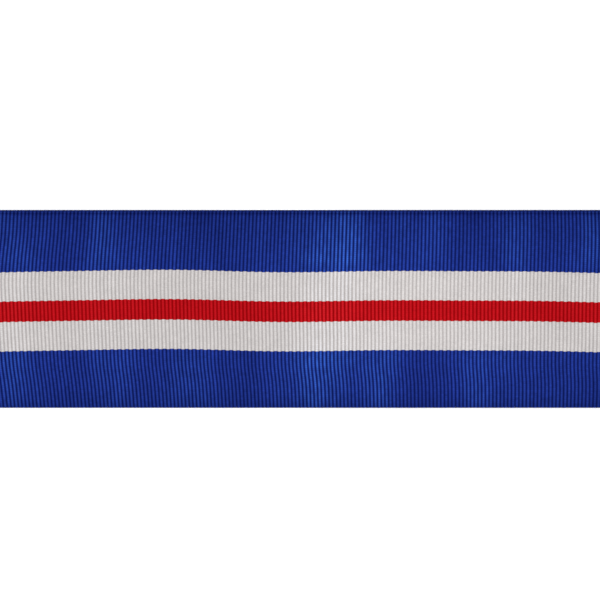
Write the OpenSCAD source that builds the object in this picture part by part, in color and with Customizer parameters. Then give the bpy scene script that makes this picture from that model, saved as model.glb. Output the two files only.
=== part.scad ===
// A cut length of striped medal ribbon, woven as a warp-faced plain weave.
// One continuous weft yarn runs to and fro through five bands of coloured warp,
// and turns round a single warp end at each selvedge.
// X runs along the ribbon, Y across it, and Z up from the back face that lies on the table.

/* [Weave] */
// Number of weft picks, one under each cross rib
picks = 250; // [20:1:280]
// Distance from one rib to the next
rib_pitch = 0.609; // [0.56:0.001:0.8]
// Diameter of the weft yarn
weft_d = 0.24; // [0.18:0.01:0.26]
// Thickness of warp above and below the weft
warp_t = 0.1; // [0.06:0.01:0.14]
// Width of the single warp end inside the selvedge loops
selvedge_end_w = 0.16; // [0.08:0.01:0.16]

/* [Stripes] */
// Overall width, over the weft loops of both selvedges
ribbon_w = 32; // [30:0.5:40]
// Width of the upper blue stripe, out to the edge
blue_upper_w = 9.88; // [7:0.01:11]
// Width of the upper white stripe
white_upper_w = 4.8; // [3:0.01:5]
// Width of the central red stripe
red_w = 3.25; // [2:0.01:4]
// Width of the lower white stripe
white_lower_w = 4.81; // [3:0.01:5]

/* [Hidden] */

slack = 0.005; // room between crossing yarns
ribbon_t = weft_d + 2 * (warp_t + slack);
ribbon_l = picks * rib_pitch;
turn_r = rib_pitch / 2; // a weft loop joins two neighbouring picks
pick_end = ribbon_w / 2 - turn_r - weft_d / 2; // where a pick turns into its loop

// Stripe boundaries, from the upper edge down
blue_to_white = ribbon_w / 2 - blue_upper_w;
white_to_red = blue_to_white - white_upper_w;
red_to_white = white_to_red - red_w;
white_to_blue = red_to_white - white_lower_w;

// A selvedge end lies flat over or under a pick and dives through the loop to the other side
crown = 0.39 * rib_pitch; // half length of its outer face at a pick
seat = 0.25 * rib_pitch; // half length of its inner face at a pick

block = 10; // picks that are joined at a time
yarn_fn = 24;
turn_fn = 48;

blue = [0.11, 0.18, 0.48];
white = [0.86, 0.85, 0.85];
red = [0.69, 0.06, 0.09];
dark_blue = [0.07, 0.11, 0.32];

function pick_x(i) = (i + 0.5) * rib_pitch - ribbon_l / 2;
function turn_side(i) = i % 2 == 0 ? 1 : -1;
function is_over(i) = i % 2 == 0;

// A strip of warp between two stripe boundaries, with a tunnel for every pick
module warp_band(low_y, high_y) {
  translate([0, high_y, 0])
    rotate([90, 0, 0])
      linear_extrude(high_y - low_y)
        difference() {
          translate([-ribbon_l / 2, 0])
            square([ribbon_l, ribbon_t]);
          for (i = [0 : picks - 1])
            translate([pick_x(i), ribbon_t / 2])
              circle(d = weft_d + 2 * slack, $fn = yarn_fn);
        }
}

// One straight pick across the ribbon
module pick(i) {
  translate([pick_x(i), 0, ribbon_t / 2])
    rotate([90, 0, 0])
      cylinder(d = weft_d, h = 2 * pick_end, center = true, $fn = yarn_fn);
}

// The half turn at the selvedge, from one pick to the next
module turn(i) {
  translate([pick_x(i) + turn_r, turn_side(i) * pick_end, ribbon_t / 2])
    rotate([0, 0, turn_side(i) > 0 ? 0 : 180])
      rotate_extrude(angle = 180, $fn = turn_fn)
        translate([turn_r, 0])
          circle(d = weft_d, $fn = yarn_fn);
}

module weft_block(first) {
  for (i = [first : min(first + block, picks) - 1]) {
    pick(i);
    if (i < picks - 1)
      turn(i);
  }
}

module weft_yarn() {
  color(dark_blue)
    for (first = [0 : block : picks - 1])
      weft_block(first);
}

// Profile of an end that passes over the even picks and under the odd ones
module crimped_profile() {
  upper = [
    for (i = [0 : picks - 1])
      let (z = is_over(i) ? ribbon_t : warp_t, half = is_over(i) ? crown : seat)
        each [[pick_x(i) - half, z], [pick_x(i) + half, z]]
  ];
  lower = [
    for (j = [1 : picks])
      let (i = picks - j, z = is_over(i) ? ribbon_t - warp_t : 0, half = is_over(i) ? seat : crown)
        each [[pick_x(i) + half, z], [pick_x(i) - half, z]]
  ];
  polygon(concat(upper, lower));
}

// Lies inside the weft loops, against the outer face of the blue band
module selvedge_end(low_y) {
  color(blue)
    translate([0, low_y + selvedge_end_w, 0])
      rotate([90, 0, 0])
        linear_extrude(selvedge_end_w)
          crimped_profile();
}

module selvedge_end_upper() {
  selvedge_end(pick_end);
}

module selvedge_end_lower() {
  selvedge_end(-pick_end - selvedge_end_w);
}

module blue_warp_upper() {
  color(blue) warp_band(blue_to_white, pick_end);
}

module white_warp_upper() {
  color(white) warp_band(white_to_red, blue_to_white);
}

module red_warp() {
  color(red) warp_band(red_to_white, white_to_red);
}

module white_warp_lower() {
  color(white) warp_band(white_to_blue, red_to_white);
}

module blue_warp_lower() {
  color(blue) warp_band(-pick_end, white_to_blue);
}

weft_yarn();
selvedge_end_upper();
blue_warp_upper();
white_warp_upper();
red_warp();
white_warp_lower();
blue_warp_lower();
selvedge_end_lower();
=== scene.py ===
"""Striped medal ribbon: the woven cloth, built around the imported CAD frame.

The weave is worked out in millimetres, in the frame's own axes: X along the ribbon,
Y across it and Z up. It becomes metres when a mesh is made.
u counts ribs along the ribbon, with a whole number in each valley, and v is the
distance across the ribbon before the stripes stray.
"""

import math

import bpy
import numpy as np
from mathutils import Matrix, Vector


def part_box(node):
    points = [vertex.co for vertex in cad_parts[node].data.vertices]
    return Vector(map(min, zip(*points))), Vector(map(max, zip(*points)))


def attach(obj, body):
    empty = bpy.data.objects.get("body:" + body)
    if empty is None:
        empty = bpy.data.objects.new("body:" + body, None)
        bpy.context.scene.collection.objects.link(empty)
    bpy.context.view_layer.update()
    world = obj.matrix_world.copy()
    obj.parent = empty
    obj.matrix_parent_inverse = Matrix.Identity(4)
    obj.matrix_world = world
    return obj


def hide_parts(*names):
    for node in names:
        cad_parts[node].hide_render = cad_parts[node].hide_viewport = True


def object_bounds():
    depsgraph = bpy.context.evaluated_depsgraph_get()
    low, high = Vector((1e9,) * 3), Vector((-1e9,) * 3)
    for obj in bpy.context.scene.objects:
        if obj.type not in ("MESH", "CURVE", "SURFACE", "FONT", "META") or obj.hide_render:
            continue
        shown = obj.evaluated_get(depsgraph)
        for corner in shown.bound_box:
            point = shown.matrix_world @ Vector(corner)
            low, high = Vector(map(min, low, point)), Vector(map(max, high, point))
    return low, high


MM = 0.001
UP, ACROSS = (0.0, 0.0, 1.0), (0.0, 1.0, 0.0)
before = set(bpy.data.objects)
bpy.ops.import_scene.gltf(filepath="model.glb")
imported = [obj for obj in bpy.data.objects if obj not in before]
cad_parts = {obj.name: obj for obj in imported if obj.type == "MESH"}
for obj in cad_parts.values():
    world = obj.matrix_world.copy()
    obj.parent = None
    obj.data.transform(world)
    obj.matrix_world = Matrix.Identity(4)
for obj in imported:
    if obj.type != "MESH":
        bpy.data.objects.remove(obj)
cad_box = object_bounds()

# ---------------------------------------------------------------- sizes, from the frame
cad_low, cad_high = (np.array(corner) / MM for corner in cad_box)
LENGTH = cad_high[0] - cad_low[0]
EDGE = cad_high[1]  # where the weft turns reach on both sides
THICK = cad_high[2] - cad_low[2]
RIBS = 250  # one over each pick of the weft
RIB = LENGTH / RIBS
LIFT = 0.015  # keeps the highest ribs of the back off the table

# ---------------------------------------------------------------- the weave
UPPER, LOWER = 1, -1  # the two edges, which also give the direction out of each
FACE, BACK = 1, -1
BAND_EDGE = {UPPER: EDGE - 0.2, LOWER: EDGE - 0.12}  # outer faces of the blue bands, inside the turns

FLOAT_W = 0.32  # width of one warp float, which hides two warp ends
FLOAT_GROOVE = 0.03  # depth between floats
STEP = 0.04  # a float moves this much either way from one rib to the next
STEP_FADE = (EDGE - 1.12, EDGE - 0.52)  # the steps die out between these distances from the middle
DARK_BULGE = 0.04  # the dark stripes' floats lie this far over the white ones
VALLEY_DEPTH = 0.15
SEAM_V = EDGE - 0.6  # the sunken line inside the upper selvedge
SEAM_W, SEAM_DEPTH = 0.1, 0.06
EDGE_ROUND = {UPPER: (0.25, 0.5), LOWER: (0.15, 0.4)}  # how far in a band thins, and by what share

# One rib's section: place along the rib pitch, height from the valley to the crest, and the painted
# light of the yarn, from the valley's colour (painted shade, with the dark weft between the ribs) to
# the lit crest's
RIB_STEPS = ((0.0, 0.0, 0.0), (0.16, 0.66, 0.3), (0.5, 1.0, 1.0), (0.84, 0.66, 0.3))
GROOVE_SHADE = 0.3  # painted shade in a groove, and in the seam: loss of that lightness

WEFT_R = 0.11
TURN_R = 0.05  # the weft is drawn thin where it turns
TURN_START = EDGE - 0.25
TURN_REACH = {UPPER: 0.022, LOWER: 0.01}  # how far past the CAD's edge the turns stand
SELVEDGE_R = {UPPER: 0.14, LOWER: 0.09}  # half width of the outermost warp end
SELVEDGE_FLAT = 0.6  # its thickness as a share of its width
SELVEDGE_TURN_SHADE = 0.2  # its painted shade, how light it is where a turn holds it
SELVEDGE_BUMP_LIGHT = {UPPER: 0.3, LOWER: 0.8}  # painted highlight: how much lighter it is over each pick
TUCK = 0.015  # how much further in it lies where a turn holds it
YARN_LIGHT = 0.6  # how light the weft is, from the valley's shade to the crest's
YARN_SHADE = 0.7  # the single yarns at the edges are darker than the bands

FRAY = 3  # frayed filaments of each warp end where the ribbon is cut
FRAY_R = 0.036
FRAY_ROOT = 0.15  # how far inside the cut a filament starts
FRAY_SPREAD = 0.06  # how far above or below the middle layer it starts
FRAY_REACH = (0.25, 0.45)  # length of the shortest filament, and how much longer the longest is
FRAY_CURL, FRAY_SAG = 0.07, -0.03
FRAY_TAPER = 0.6
FRAY_FLOOR = 0.05  # no filament comes lower
FRAY_LIGHT, FRAY_TONE = 0.95, 0.12

# ---------------------------------------------------------------- how the cloth lies
# Sideways stray of the stripes: amplitude, wavelength along the ribbon, phase
STRAY = ((0.15, 100.0, 2.14), (0.2, 57.5, -1.46), (0.06, 30.0, -0.79))
STRAY_MEAN = -0.036
STRAY_FADE = (6.5, 15.5)  # the stray dies out between these distances from the middle

# Bow of the picks: place across, then how far a pick strays along the ribbon at the
# left, the middle and the right of the middle stretch
BOW = (
    (-16.0, 1.40, 0.65, -0.15),
    (-12.0, 0.95, 0.45, -0.05),
    (-9.0, 0.54, 0.15, -0.15),
    (-5.0, 0.25, 0.10, -0.05),
    (0.0, 0.0, 0.0, 0.0),
    (5.0, -0.20, 0.0, 0.10),
    (8.0, 0.0, 0.10, 0.20),
    (12.0, 0.42, 0.25, 0.30),
    (16.0, 0.66, 0.40, 0.20),
)
BOW_REACH = 48.0  # half length of that middle stretch
BOW_END = LENGTH / 2 - 2.0  # the picks are straight again here, near the cut ends

# Uneven beat of the picks: place along the ribbon, and how far the ribs there have moved
BEAT = (
    (-60.0, 0.0),
    (-45.0, 0.0),
    (-30.0, 0.09),
    (-20.0, 0.08),
    (-8.0, -0.07),
    (10.0, -0.06),
    (30.0, 0.0),
    (45.0, 0.03),
    (60.0, 0.0),
)

# Soft folds across the cloth: centre at the lower and the upper edge, half width, then how strongly
# it catches the light, which is painted into the yarn's colour as well as tilting the cloth, at the
# lower and the upper edge
FOLDS = (
    (-66.0, -63.0, 5.0, 0.14, 0.10),
    (-56.0, -55.0, 3.5, -0.10, -0.08),
    (-46.0, -47.0, 3.0, 0.14, 0.08),
    (-37.0, -39.0, 3.0, -0.07, -0.06),
    (-31.0, -32.0, 3.4, 0.07, 0.10),
    (-18.0, -16.0, 3.5, 0.12, -0.12),
    (-8.0, -14.0, 3.5, -0.08, -0.05),
    (2.5, 4.0, 3.5, 0.38, 0.18),
    (7.0, 8.0, 2.2, -0.04, 0.42),
    (13.0, 13.0, 2.4, 0.26, -0.02),
    (20.5, 21.5, 3.0, -0.24, 0.16),
    (29.0, 28.0, 3.0, 0.22, -0.22),
    (34.0, 35.0, 2.4, -0.04, 0.20),
    (40.0, 39.5, 2.6, 0.04, -0.12),
    (46.0, 47.0, 3.0, -0.10, 0.18),
    (57.0, 59.0, 4.0, 0.16, -0.10),
    (68.0, 66.0, 5.0, -0.10, 0.12),
)
FOLD_SLOPE = 0.12  # slope of the cloth for each unit of that strength

# ---------------------------------------------------------------- painted light and shade in the yarn
FOLD_SHADE_RATE = 1.1  # painted fold shade: how fast a crest darkens to its valley's painted shade where a fold's strength is below 0
# The folds' painted shine is strongest beside the white stripes: distance from the middle, and the
# share
SHINE = (
    (0.0, 1.0),
    (6.5, 1.0),
    (8.0, 1.65),
    (10.0, 1.3),
    (12.0, 1.0),
    (14.0, 0.8),
    (16.0, 0.6),
)
POOL = (19.0, 20.0, 0.1)  # middle, half width and strength of a painted broad pool of light

# The cloth darkens towards its edges: the edge, where this starts and ends, and how much.
# The crests lose lightness in the first table, and all the yarn does in the second.
CREST_DARK = ((UPPER, EDGE - 2.4, EDGE - 0.4, 0.2), (LOWER, EDGE - 1.0, EDGE - 0.2, 0.15))
YARN_DARK = (
    (UPPER, 6.0, 15.5, 0.14),
    # the seam's row: painted shade along the sunken seam
    (UPPER, SEAM_V - 0.3, SEAM_V + 0.1, 0.1),
    (LOWER, 9.0, 11.0, 0.04),
    (LOWER, 12.5, 15.8, 0.13),
)

# Chance differences between yarns
FLOAT_TONE = 0.055  # between single floats
PATCH_TONE = 0.03  # between patches of a rib
PATCH_POINTS = 15  # width of such a patch, in points of the cloth's grid
# How much the patches vary the folds' painted shine, and how strong the faint waves of painted sheen
# are
PATCH_SHINE = 0.18
RIPPLE_SHINE = 0.045
RIPPLE_COUNT = 16
random = np.random.default_rng(1902)
RIB_TONE = random.normal(0.0, 0.03, RIBS + 1)[:, None]
RIB_HEIGHT = random.normal(0.0, 0.004, RIBS + 1)
# Faint waves of painted sheen: wavelength along the ribbon, lean and phase
RIPPLES = [
    (random.uniform(4.0, 14.0), random.uniform(-0.5, 0.5), random.uniform(0.0, 6.28))
    for _ in range(RIPPLE_COUNT)
]


# ---------------------------------------------------------------- shape of the cloth
def smooth(low, high, x):
    t = np.clip((x - low) / (high - low), 0.0, 1.0)
    return t * t * (3.0 - 2.0 * t)


def ramps(rows, v):
    """Sum of smooth steps towards the edges."""
    return sum(amount * smooth(start, end, side * v) for side, start, end, amount in rows)


def through(xs, ys, x):
    """A smooth curve through a few points."""
    xs, ys = np.array(xs), np.array(ys)
    slopes = np.gradient(ys, xs)
    i = np.clip(np.searchsorted(xs, x) - 1, 0, len(xs) - 2)
    gap = xs[i + 1] - xs[i]
    t = np.clip((x - xs[i]) / gap, 0.0, 1.0)
    start, end = ys[i], ys[i + 1]
    rise = t * t * (3.0 - 2.0 * t)
    lean = slopes[i] * t * (1.0 - t) ** 2 - slopes[i + 1] * t * t * (1.0 - t)
    return start + (end - start) * rise + gap * lean


def stray(x, v):
    """How far the stripes lie off their lines at x; the outer edges stay straight."""
    waves = sum(a * np.sin(2.0 * np.pi * x / length + phase) for a, length, phase in STRAY)
    return (waves + STRAY_MEAN) * (1.0 - smooth(*STRAY_FADE, np.abs(v)))


def bow(x, v):
    """How far a pick strays along the ribbon at v, for a pick whose middle is at x."""
    places = [row[0] for row in BOW]
    left, middle, right = (through(places, [row[n] for row in BOW], v) for n in (1, 2, 3))
    s = np.clip(x / BOW_REACH, -1.0, 1.0)
    shift = middle + s * (right - left) / 2.0 + s * s * ((right + left) / 2.0 - middle)
    return shift * (1.0 - smooth(BOW_REACH, BOW_END, np.abs(x)))


def folds(x, y):
    """Light that the folds catch at a place, painted into the yarn's colour, and the height of the
    cloth there.
    """
    t = np.clip((y + EDGE) / (2.0 * EDGE), 0.0, 1.0)
    light, height = 0.0, 0.0
    for low_x, high_x, width, low_s, high_s in FOLDS:
        centre = low_x + (high_x - low_x) * t
        strength = low_s + (high_s - low_s) * t
        flank = np.tanh((x - centre) / width)
        light = light + strength * (1.0 - flank**2)
        height = height + strength * width * flank * FOLD_SLOPE
    return light, height


def fold_rise(x, y):
    """Height that the folds give the cloth, which is nothing at either cut end."""
    ends = [folds(np.full_like(y, side * LENGTH / 2), y)[1] for side in (-1, 1)]
    drift = ends[0] + (ends[1] - ends[0]) * (x / LENGTH + 0.5)
    return folds(x, y)[1] - drift


def lowest_rise():
    x, y = np.meshgrid(np.linspace(-LENGTH / 2, LENGTH / 2, 600), np.linspace(-EDGE, EDGE, 60))
    return fold_rise(x, y).min()


FLOOR_DROP = lowest_rise()


def ripples(x, y):
    """Faint uneven painted sheen, as waves that run mostly across the ribbon."""
    waves = sum(
        np.sin(2.0 * np.pi * (x + lean * y) / length + phase) for length, lean, phase in RIPPLES
    )
    return waves / math.sqrt(RIPPLE_COUNT / 2.0)


def place(u, v):
    """Position of the cloth's middle layer at rib count u and distance v."""
    x = u * RIB - LENGTH / 2
    y = v + stray(x, v)
    z = fold_rise(x, y) - FLOOR_DROP + THICK / 2 + LIFT
    beat = through(*zip(*BEAT), x)
    return x + beat + bow(x, v), y, z


# ---------------------------------------------------------------- mesh making
def new_piece(name, points, faces, values, uvs=None, sharp=None):
    """A mesh object from points in millimetres. values holds a number for each point
    under a name that the material reads, uvs has one pair for each face corner, and
    sharp tells from an edge's two points whether it is a crease."""
    mesh = bpy.data.meshes.new(name)
    mesh.from_pydata((np.asarray(points) * MM).tolist(), [], faces)
    mesh.polygons.foreach_set("use_smooth", np.ones(len(mesh.polygons), bool))
    for key, numbers in values.items():
        layer = mesh.attributes.new(key, "FLOAT", "POINT")
        layer.data.foreach_set("value", np.asarray(numbers, np.float32))
    if uvs is not None:
        layer = mesh.uv_layers.new(name="OFBake")
        layer.data.foreach_set("uv", np.asarray(uvs, np.float32).ravel())
    if sharp is not None:
        ends = np.empty(len(mesh.edges) * 2, np.int32)
        mesh.edges.foreach_get("vertices", ends)
        layer = mesh.attributes.new("sharp_edge", "BOOLEAN", "EDGE")
        layer.data.foreach_set("value", sharp(*ends.reshape(-1, 2).T))
    mesh.validate()
    piece = bpy.data.objects.new(name, mesh)
    bpy.context.scene.collection.objects.link(piece)
    return piece


def ring_quads(count, sides):
    """Faces between rings of points that follow one another."""
    quads = []
    for first in range(0, (count - 1) * sides, sides):
        for s in range(sides):
            t = (s + 1) % sides
            quads.append([first + s, first + t, first + sides + t, first + sides + s])
    return quads


def tube(points, radius, sides, across, flat=1.0):
    """Rings round a path, as points and faces. across is a direction that the path
    never follows, radius is one number or one for each point, and flat is the share of
    it that the tube keeps square to across."""
    points = np.asarray(points)
    along = np.gradient(points, axis=0)
    along /= np.linalg.norm(along, axis=1, keepdims=True)
    first = np.cross(across, along)
    first /= np.linalg.norm(first, axis=1, keepdims=True)
    second = np.cross(along, first)
    angle = (np.arange(sides) * 2.0 * np.pi / sides)[None, :, None]
    ring = first[:, None] * flat * np.cos(angle) + second[:, None] * np.sin(angle)
    rings = points[:, None] + np.broadcast_to(radius, len(points))[:, None, None] * ring
    last = (len(points) - 1) * sides
    ends = [list(range(sides))[::-1], [last + s for s in range(sides)]]
    return rings.reshape(-1, 3), ring_quads(len(points), sides) + ends


# ---------------------------------------------------------------- woven bands
# A band's map for baking. The band is cut across into a few lanes of one length, which lie
# one above the other, so that each rib has room. Sizes are shares of the map or of a lane.
LANES_START, LANES_LENGTH = 0.01, 0.98  # along the map
WIDE_FLOATS, WIDE_LANES, NARROW_LANES = 20, 2, 5  # a band with more floats than this is wide
FACE_SPAN, BACK_SPAN = (0.52, 0.99), (0.01, 0.48)  # across a lane
WALL_SPANS = ((0.49, 0.497), (0.503, 0.51))
CAP_SPANS = ((0.001, 0.007), (0.993, 0.999))  # along the map, in the margins beside the lanes
CAP_START, CAP_LENGTH = 0.05, 0.9  # across the map


def rib_rows():
    """For each row of the cloth's grid: u, the rib it's on, height, painted lightness from the
    valley's shade to the lit crest, and the side that its floats lie to."""
    rows = [
        (rib + spot, rib, height, light, (-1) ** rib if height else 0)
        for rib in range(RIBS)
        for spot, height, light in RIB_STEPS
    ]
    rows.append((RIBS, RIBS, 0.0, 0.0, 0))
    return [np.array(column, float)[:, None] for column in zip(*rows)]


def cloth_face(low_v, high_v, columns, side):
    """Points of one face of a band, the painted_relief that its material reads (painted shade in the
    valleys, grooves and seam, painted light on the crests), and the rib that each row is on. side is
    FACE or BACK, and only the face has grooves and a seam."""
    u, rib, share, light, lean = rib_rows()
    v = np.linspace(low_v, high_v, columns)[None, :]
    inner = 1.0 - smooth(*STEP_FADE, np.abs(v))
    groove = np.tile([1.0, 0.0], columns)[:columns] * (side == FACE)
    flat_v = v + side * STEP * lean * inner
    x, y, z = place(u + 0.0 * flat_v, flat_v)
    seam = np.exp(-(((v - SEAM_V) / SEAM_W) ** 2)) * (side == FACE)
    rib = rib.astype(int)
    height = THICK / 2 - VALLEY_DEPTH * (1.0 - share) - FLOAT_GROOVE * groove * share
    height = height + RIB_HEIGHT[rib] * share
    for edge, (width, loss) in EDGE_ROUND.items():
        outer = BAND_EDGE[edge]
        height = height * (1.0 - loss * smooth(outer - width, outer, edge * v) ** 2)
    height = height - SEAM_DEPTH * seam
    # Painted shade in the valleys, the grooves between floats and the seam, and painted light on the
    # crests
    painted_relief = light * (1.0 - GROOVE_SHADE * groove) * (1.0 - ramps(CREST_DARK, v))
    painted_relief = np.clip(painted_relief - GROOVE_SHADE * seam, 0.0, 1.0)
    return np.stack([x, y, z + side * height], axis=-1), painted_relief, rib[:, 0]


def light_on(points, rib, gain, unevenness):
    """How bright each point's yarn is, from chance tones, a painted pool of light and a darkening
    towards the edges, and the painted light and shade that the folds give it.
    """
    columns = points.shape[1]
    x, y = points[..., 0], points[..., 1]
    spread = np.hanning(PATCH_POINTS)
    spread /= np.linalg.norm(spread)
    grains = random.normal(0.0, 1.0, (RIBS + 1, columns + PATCH_POINTS - 1))
    patches = np.array([np.convolve(row, spread, "valid") for row in grains])
    floats = np.repeat(random.normal(0.0, FLOAT_TONE, (RIBS + 1, columns // 2 + 1)), 2, axis=1)
    tone = RIB_TONE + PATCH_TONE * patches + floats[:, :columns]
    # A painted pool of light, and darkening towards the edges
    middle, half_width, strength = POOL
    pool = 1.0 + strength * np.exp(-(((x - middle) / half_width) ** 2))
    shade = pool * (1.0 + unevenness * tone[rib]) * (1.0 - ramps(YARN_DARK, y))
    # Painted light and shade of the folds
    glow = folds(x, y)[0]
    glow = glow * np.where(glow > 0.0, through(*zip(*SHINE), np.abs(y)), 1.0)
    painted_lustre = gain * glow * (1.0 + PATCH_SHINE * patches[rib])
    return shade, painted_lustre + RIPPLE_SHINE * unevenness * ripples(x, y)


def strip(ids, span, lanes, flip=False):
    """Faces between the rows of a grid of points, and their UVs."""
    quads = np.stack([ids[:-1, :-1], ids[1:, :-1], ids[1:, 1:], ids[:-1, 1:]], axis=-1)
    lane_rows = len(quads) // lanes
    lane, row = np.divmod(np.arange(len(quads)), lane_rows)
    start = LANES_START + LANES_LENGTH * row / lane_rows
    end = start + LANES_LENGTH / lane_rows
    along = np.stack([start, end, end, start], axis=-1)[:, None]
    over = np.linspace(*span, ids.shape[1])
    across = np.stack([over[:-1], over[:-1], over[1:], over[1:]], axis=-1)
    across = (lane[:, None, None] + across) / lanes
    uvs = np.stack(np.broadcast_arrays(along, across), axis=-1)
    if flip:
        quads, uvs = quads[..., ::-1], uvs[..., ::-1, :]
    return quads.reshape(-1, 4), uvs.reshape(-1, 2)


def cap(face_row, back_row, span, flip):
    """Faces that close a band's cut end, and their UVs. The face has two points for each
    one of the back."""
    low, high = span
    faces, uvs = [], []
    for j in range(len(back_row) - 1):
        face = [back_row[j], *face_row[2 * j : 2 * j + 3], back_row[j + 1]]
        spots = [(low, j), (high, j), (high, j + 0.5), (high, j + 1), (low, j + 1)]
        pairs = [(a, CAP_START + CAP_LENGTH * b / (len(back_row) - 1)) for a, b in spots]
        faces.append([int(i) for i in (face[::-1] if flip else face)])
        uvs += pairs[::-1] if flip else pairs
    return faces, uvs


def crease_test(grids):
    """A test for an edge between two points of the grids: valleys stay crisp, and so do
    the edges between a face and a wall."""
    row = np.concatenate([np.indices(ids.shape)[0].ravel() for ids in grids])
    rims = [np.zeros(ids.shape, int) for ids in grids]
    for marks in rims:
        marks[:, 0] = 1
        marks[:, -1] = 2
    rim = np.concatenate([marks.ravel() for marks in rims])

    def is_crease(a, b):
        valley = (row[a] % len(RIB_STEPS) == 0) & (row[a] == row[b])
        return valley | ((rim[a] > 0) & (rim[a] == rim[b]))

    return is_crease


def woven_band(name, low_v, high_v, gain, unevenness):
    """A closed ribbed solid, with a detailed upper face and a plainer back."""
    floats = round((high_v - low_v) / FLOAT_W)
    lanes = WIDE_LANES if floats > WIDE_FLOATS else NARROW_LANES
    sides = [
        cloth_face(low_v, high_v, 2 * floats + 1, FACE),
        cloth_face(low_v, high_v, floats + 1, BACK),
    ]
    grids, used = [], 0
    for points, _, _ in sides:
        count = points.shape[0] * points.shape[1]
        grids.append(np.arange(used, used + count).reshape(points.shape[:2]))
        used += count
    top, back = grids
    near, far = (np.stack([back[:, column], top[:, column]], axis=1) for column in (0, -1))
    strips = [
        strip(top, FACE_SPAN, lanes),
        strip(back, BACK_SPAN, lanes, flip=True),
        strip(near, WALL_SPANS[0], lanes),
        strip(far, WALL_SPANS[1], lanes, flip=True),
    ]
    start_cap, start_uvs = cap(top[0], back[0], CAP_SPANS[0], flip=True)
    end_cap, end_uvs = cap(top[-1], back[-1], CAP_SPANS[1], flip=False)
    faces = np.concatenate([quads for quads, _ in strips]).tolist() + start_cap + end_cap
    uvs = np.concatenate([pairs for _, pairs in strips] + [start_uvs, end_uvs])

    looks = [light_on(points, rib, gain, unevenness) for points, _, rib in sides]
    painted_relief = np.concatenate([painted_relief.ravel() for _, painted_relief, _ in sides])
    shade = np.concatenate([shade.ravel() for shade, _ in looks])
    painted_lustre = np.concatenate([painted_lustre.ravel() for _, painted_lustre in looks])
    # Painted fold shade darkens the crests towards the valley's shade; painted fold highlight stays
    # on the lit crests
    values = {
        "painted_relief": painted_relief * np.clip(1.0 + FOLD_SHADE_RATE * np.minimum(painted_lustre, 0.0), 0.0, 1.0),
        "shade": shade,
        "painted_lustre": painted_relief * np.maximum(painted_lustre, 0.0),
    }
    points = np.concatenate([points.reshape(-1, 3) for points, _, _ in sides])
    return new_piece(name, points, faces, values, uvs, crease_test(grids))


# ---------------------------------------------------------------- single yarns
SHOULDERS = (0.5, 0.2, 0.0)  # the last points of a pick, as distances from the turn's start
MIDDLE_REACH, MIDDLE_POINTS = 14.0, 21  # the pick's other points, and how far they reach
THIN_GAP = 0.1  # the weft is thin from this distance before the turn's start
TURN_POINTS = 7
SELVEDGE_POINTS = 8  # points of the selvedge end's path for each pick
FRAY_POINTS = 5


def plain_values(painted_relief, shade):
    """What the material reads on a piece that no fold makes shine."""
    return {"painted_relief": painted_relief, "shade": shade, "painted_lustre": np.zeros(len(painted_relief))}


def weft_path():
    """The one weft yarn, to and fro through every rib, with a tight and nearly square
    turn at each edge, and its radius along the way."""
    shoulders = [TURN_START - gap for gap in SHOULDERS]
    inner = np.linspace(-MIDDLE_REACH, MIDDLE_REACH, MIDDLE_POINTS)
    straight = np.array([-v for v in shoulders[::-1]] + list(inner) + shoulders)
    turn = np.linspace(0.0, np.pi, TURN_POINTS + 2)[1:-1]
    square = np.sign(np.cos(turn)) * np.sqrt(np.abs(np.cos(turn)))
    us, vs = [], []
    for k in range(RIBS):
        side = UPPER if k % 2 == 0 else LOWER
        us += [k + 0.5] * len(straight)
        vs += list(straight * side)
        if k < RIBS - 1:
            us += list(k + 1.0 - 0.5 * square)
            depth = EDGE + TURN_REACH[side] - TURN_R - TURN_START
            vs += list(side * (TURN_START + depth * np.sin(turn) ** 0.3))
    thin = smooth(shoulders[0], TURN_START - THIN_GAP, np.abs(vs))
    path = np.stack(place(np.array(us), np.array(vs)), axis=-1)
    return path, WEFT_R + (TURN_R - WEFT_R) * thin


def selvedge_path(side):
    """The outermost warp end, over one pick and under the next, and its painted light and shade along
    the way, darker where a turn holds it. It lies inside the weft's turns, and bulges out to the edge
    between them."""
    radius = SELVEDGE_R[side]
    u = np.arange(RIBS * SELVEDGE_POINTS + 1) / SELVEDGE_POINTS
    tuck = TUCK / 2 * (1.0 - side * np.cos(np.pi * u))
    x, y, z = place(u, side * (EDGE + TURN_REACH[side] - radius - tuck))
    wave = side * np.sin(np.pi * u)
    path = np.stack([x, y, z + (THICK / 2 - SELVEDGE_FLAT * radius) * wave], axis=-1)
    return path, SELVEDGE_TURN_SHADE + SELVEDGE_BUMP_LIGHT[side] * np.abs(wave)


def yarn_piece(name, path, radius, sides, across, flat=1.0, painted_relief=YARN_LIGHT):
    """A single yarn. painted_relief, its painted lightness from the valley's shade to the crest, is
    one number or one for each point of the path.
    """
    points, faces = tube(path, radius, sides, across, flat)
    painted_relief = np.repeat(np.broadcast_to(painted_relief, len(path)), sides)
    return new_piece(name, points, faces, plain_values(painted_relief, np.full(len(points), YARN_SHADE)))


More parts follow.
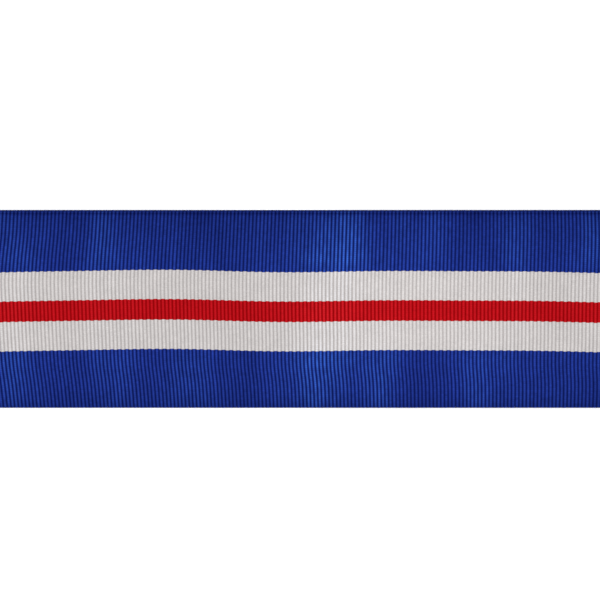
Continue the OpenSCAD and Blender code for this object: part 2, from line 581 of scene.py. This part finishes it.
def cut_ends(name, low_v, high_v):
    """The short frayed filaments of a band's warp ends, at both cut ends of the ribbon."""
    count = FRAY * 2 * round((high_v - low_v) / FLOAT_W)
    share = np.linspace(0.0, 1.0, FRAY_POINTS)[:, None]
    radius = FRAY_R * (1.0 - FRAY_TAPER * share[:, 0] ** 2)
    shortest, extra = FRAY_REACH
    points, faces, shades = [], [], []
    for side, u in ((-1, 0.0), (1, float(RIBS))):
        for v in low_v + (np.arange(count) + 0.5) * (high_v - low_v) / count:
            inset = (side * FRAY_ROOT, 0.0, random.uniform(-FRAY_SPREAD, FRAY_SPREAD))
            root = np.array(place(np.array(u), v)) - inset
            reach = shortest + extra * random.uniform(0.0, 1.0) ** 2
            curl = (0.0, random.normal(0.0, FRAY_CURL), random.normal(FRAY_SAG, FRAY_CURL))
            path = root + (side * reach, 0.0, 0.0) * share + curl * share**2
            path[:, 2] = np.maximum(path[:, 2], FRAY_FLOOR)
            rings, quads = tube(path, radius, 4, ACROSS)
            start = len(shades)
            faces += [[i + start for i in quad] for quad in quads]
            points.append(rings)
            shades += [random.normal(1.0, FRAY_TONE)] * len(rings)
    painted_relief = np.full(len(shades), FRAY_LIGHT)
    return new_piece(name, np.concatenate(points), faces, plain_values(painted_relief, shades))


# ---------------------------------------------------------------- materials
def linear(red, green, blue):
    """An sRGB colour in 0 to 255, as the linear colour that a shader takes."""
    shares = [c / 255.0 for c in (red, green, blue)]
    levels = [c / 12.92 if c <= 0.04045 else ((c + 0.055) / 1.055) ** 2.4 for c in shares]
    return (*levels, 1.0)


def noise(nodes, links, coordinates, scale, detail):
    """Noise over the object's own space, stretched by a scale for each axis."""
    mapping = nodes.new("ShaderNodeMapping")
    mapping.inputs["Scale"].default_value = scale
    links.new(coordinates, mapping.inputs["Vector"])
    node = nodes.new("ShaderNodeTexNoise")
    node.inputs["Scale"].default_value = 1.0
    node.inputs["Detail"].default_value = detail
    links.new(mapping.outputs["Vector"], node.inputs["Vector"])
    return node.outputs["Fac"]


def span(nodes, links, value, middle, spread):
    """A value from 0 to 1, as one within a spread on both sides of a middle."""
    node = nodes.new("ShaderNodeMapRange")
    node.inputs["To Min"].default_value = middle - spread
    node.inputs["To Max"].default_value = middle + spread
    links.new(value, node.inputs["Value"])
    return node.outputs["Result"]


def mesh_value(nodes, key):
    node = nodes.new("ShaderNodeAttribute")
    node.attribute_name = key
    return node.outputs["Fac"]


def product(nodes, links, first, second):
    node = nodes.new("ShaderNodeMath")
    node.operation = "MULTIPLY"
    links.new(first, node.inputs[0])
    links.new(second, node.inputs[1])
    return node.outputs["Value"]


def scaled(nodes, links, vector, scale):
    node = nodes.new("ShaderNodeVectorMath")
    node.operation = "SCALE"
    links.new(vector, node.inputs[0])
    links.new(scale, node.inputs["Scale"])
    return node.outputs["Vector"]


STREAK_SCALE = (2600.0, 16000.0, 16000.0)  # filaments, long along the ribbon, per metre
PATCH_SCALE = (180.0, 420.0, 180.0)  # uneven dyeing
STREAK_TONE, STREAK_ROUGH = 0.4, 0.08  # how far a filament's tone and roughness differ
PATCH_DEPTH = 0.06
STREAK_BUMP = 0.03 * MM


def yarn_material(name, valley, crest, glint, roughness):
    """Filament yarn: a valley colour that is painted shade, a crest colour, the painted glint that a
    fold adds to a crest, and fine streaks along the yarns. The mesh carries painted_relief, shade and
    painted_lustre."""
    material = bpy.data.materials.new(name)
    material.use_nodes = True
    nodes, links = material.node_tree.nodes, material.node_tree.links
    shader = nodes["Principled BSDF"]
    shader.inputs["Specular IOR Level"].default_value = 0.006
    shader.inputs["Specular Tint"].default_value = glint
    shader.inputs["Sheen Weight"].default_value = 0.03
    shader.inputs["Sheen Roughness"].default_value = 0.4
    shader.inputs["Sheen Tint"].default_value = glint

    coordinates = nodes.new("ShaderNodeTexCoord").outputs["Object"]
    streaks = noise(nodes, links, coordinates, STREAK_SCALE, 3.0)
    patches = noise(nodes, links, coordinates, PATCH_SCALE, 2.0)

    painted_relief, shade, painted_lustre = (mesh_value(nodes, key) for key in ("painted_relief", "shade", "painted_lustre"))
    colour = nodes.new("ShaderNodeMix")
    colour.data_type = "RGBA"
    colour.inputs["A"].default_value = valley
    colour.inputs["B"].default_value = crest
    links.new(painted_relief, colour.inputs["Factor"])
    streak_tone = span(nodes, links, streaks, 1.0, STREAK_TONE)
    patch_tone = span(nodes, links, patches, 1.0, PATCH_DEPTH)
    # shade holds a painted pool of light as well as chance tones
    tone = product(nodes, links, shade, product(nodes, links, streak_tone, patch_tone))
    # Painted highlight: the glint colour is added to the base colour where the folds light the crests
    shine = nodes.new("ShaderNodeVectorMath")
    shine.operation = "MULTIPLY_ADD"
    shine.inputs[0].default_value = glint[:3]
    links.new(product(nodes, links, painted_relief, painted_lustre), shine.inputs[1])
    links.new(scaled(nodes, links, colour.outputs["Result"], tone), shine.inputs[2])
    links.new(shine.outputs["Vector"], shader.inputs["Base Color"])
    links.new(span(nodes, links, streaks, roughness, STREAK_ROUGH), shader.inputs["Roughness"])

    bump = nodes.new("ShaderNodeBump")
    bump.inputs["Strength"].default_value = 0.5
    bump.inputs["Distance"].default_value = STREAK_BUMP
    links.new(streaks, bump.inputs["Height"])
    links.new(bump.outputs["Normal"], shader.inputs["Normal"])
    return material


# Each yarn: its valley colour as painted shade, its lit crest colour, the painted glint colour, and
# its roughness
BLUE = yarn_material("blue_yarn", linear(12, 20, 82), linear(40, 66, 165), linear(56, 108, 190), 0.6)
WHITE = yarn_material(
    "white_yarn", linear(183, 178, 177), linear(216, 212, 211), linear(213, 228, 255), 0.65
)
RED = yarn_material("red_yarn", linear(149, 3, 6), linear(198, 25, 35), linear(207, 62, 66), 0.62)
WEFT = yarn_material("weft_yarn", linear(10, 18, 70), linear(24, 38, 104), linear(56, 110, 183), 0.7)


# ---------------------------------------------------------------- table, light and camera, in metres
FLOOR_R, RIM_W, RIM_H = 5.0, 1.5, 0.2  # radius of the table, and width and height of its rim
FLOOR_SIDES, RIM_RINGS = 64, 9
# Lamps: name, size, power in watts, place
LAMPS = (("overhead", 1.0, 4.6, (0.0, 0.1, 1.1)), ("side", 0.5, 3.6, (-0.9, -0.1, 0.6)))
SKY = 0.64
VIEW_W = 97.05 * MM  # length of ribbon in the view, so that both ends lie outside it
VIEW_Y = 1.448 * MM  # the view's middle, a little to the upper side of the ribbon's
VIEW_H = 1.2  # height of the camera
CLOTH_TOP = 1.0 * MM  # roughly how high the cloth stands


def make_table():
    """A round pale floor whose far rim curves up a little, so that no view meets a horizon."""
    share = np.linspace(0.0, 1.0, RIM_RINGS)[:, None, None]
    angle = np.arange(FLOOR_SIDES) * 2.0 * np.pi / FLOOR_SIDES
    ring = np.stack([np.cos(angle), np.sin(angle), 0.0 * angle], axis=-1)
    rings = ring * (FLOOR_R - RIM_W + RIM_W * share) + np.array((0.0, 0.0, RIM_H)) * share**2
    quads = [quad[::-1] for quad in ring_quads(len(rings), FLOOR_SIDES)]
    mesh = bpy.data.meshes.new("table")
    mesh.from_pydata(rings.reshape(-1, 3).tolist(), [], [list(range(FLOOR_SIDES)), *quads])
    table = bpy.data.objects.new("table", mesh)
    bpy.context.scene.collection.objects.link(table)
    material = bpy.data.materials.new("pale_table")
    material.use_nodes = True
    shader = material.node_tree.nodes["Principled BSDF"]
    shader.inputs["Base Color"].default_value = (0.95, 0.95, 0.95, 1.0)
    shader.inputs["Roughness"].default_value = 0.9
    shader.inputs["Specular IOR Level"].default_value = 0.0
    shader.inputs["Emission Color"].default_value = (1.0, 1.0, 1.0, 1.0)
    shader.inputs["Emission Strength"].default_value = 0.3
    table.data.materials.append(material)


def make_lights():
    """Square lamps that face the ribbon, and an even sky."""
    for name, size, power, location in LAMPS:
        data = bpy.data.lights.new(name, "AREA")
        data.size = size
        data.energy = power
        lamp = bpy.data.objects.new(name, data)
        lamp.location = location
        lamp.rotation_euler = (-lamp.location).to_track_quat("-Z", "Y").to_euler()
        bpy.context.scene.collection.objects.link(lamp)
    world = bpy.data.worlds.new("world")
    world.use_nodes = True
    sky = world.node_tree.nodes["Background"]
    sky.inputs["Color"].default_value = (1.0, 1.0, 1.0, 1.0)
    sky.inputs["Strength"].default_value = SKY
    bpy.context.scene.world = world
    bpy.context.scene.view_settings.view_transform = "Standard"


def make_camera():
    """Straight down on the ribbon, between its two ends."""
    data = bpy.data.cameras.new("camera")
    data.lens_unit = "FOV"
    data.angle = 2.0 * math.atan(VIEW_W / 2.0 / (VIEW_H - CLOTH_TOP))
    camera = bpy.data.objects.new("camera", data)
    camera.location = (0.0, VIEW_Y, VIEW_H)
    bpy.context.scene.collection.objects.link(camera)
    bpy.context.scene.camera = camera


# ---------------------------------------------------------------- pieces
# How each stripe looks: its material, how much of the folds' painted light it shows, how much its
# yarns differ, and how far its floats reach over the next stripe's
STRIPES = {
    "blue": (BLUE, 1.45, 1.0, DARK_BULGE),
    "white": (WHITE, 0.7, 0.25, -DARK_BULGE),
    "red": (RED, 0.7, 0.38, DARK_BULGE),
}


def dress(piece, material, slot, *nodes):
    piece.data.materials.append(material)
    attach(piece, "root")
    if nodes:
        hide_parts(*nodes)
    return piece


def stripe(colour, where=""):
    """A woven band and its cut tips, in the place of a CAD band."""
    material, gain, unevenness, bulge = STRIPES[colour]
    name, node, slot = colour + "_band" + where, colour + "_warp" + where, colour + "_yarn"
    low, high = (corner.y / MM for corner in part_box(node))
    low_v = -BAND_EDGE[LOWER] if name == "blue_band_lower" else low - bulge
    high_v = BAND_EDGE[UPPER] if name == "blue_band_upper" else high + bulge
    band = dress(woven_band(name, low_v, high_v, gain, unevenness), material, slot, node)
    tips = dress(cut_ends(name + "_tips", low_v, high_v), material, slot)


def selvedge_yarn(where, side):
    path, painted_relief = selvedge_path(side)
    name = "selvedge_yarn_" + where
    yarn = yarn_piece(name, path, SELVEDGE_R[side], 8, ACROSS, SELVEDGE_FLAT, painted_relief)
    dress(yarn, BLUE, "blue_yarn", "selvedge_end_" + where)


make_table()
stripe("blue", "_upper")
stripe("white", "_upper")
stripe("red")
stripe("white", "_lower")
stripe("blue", "_lower")
weft, weft_radius = weft_path()
dress(yarn_piece("weft", weft, weft_radius, 6, UP), WEFT, "weft", "weft_yarn")
selvedge_yarn("upper", UPPER)
selvedge_yarn("lower", LOWER)
make_lights()
make_camera()
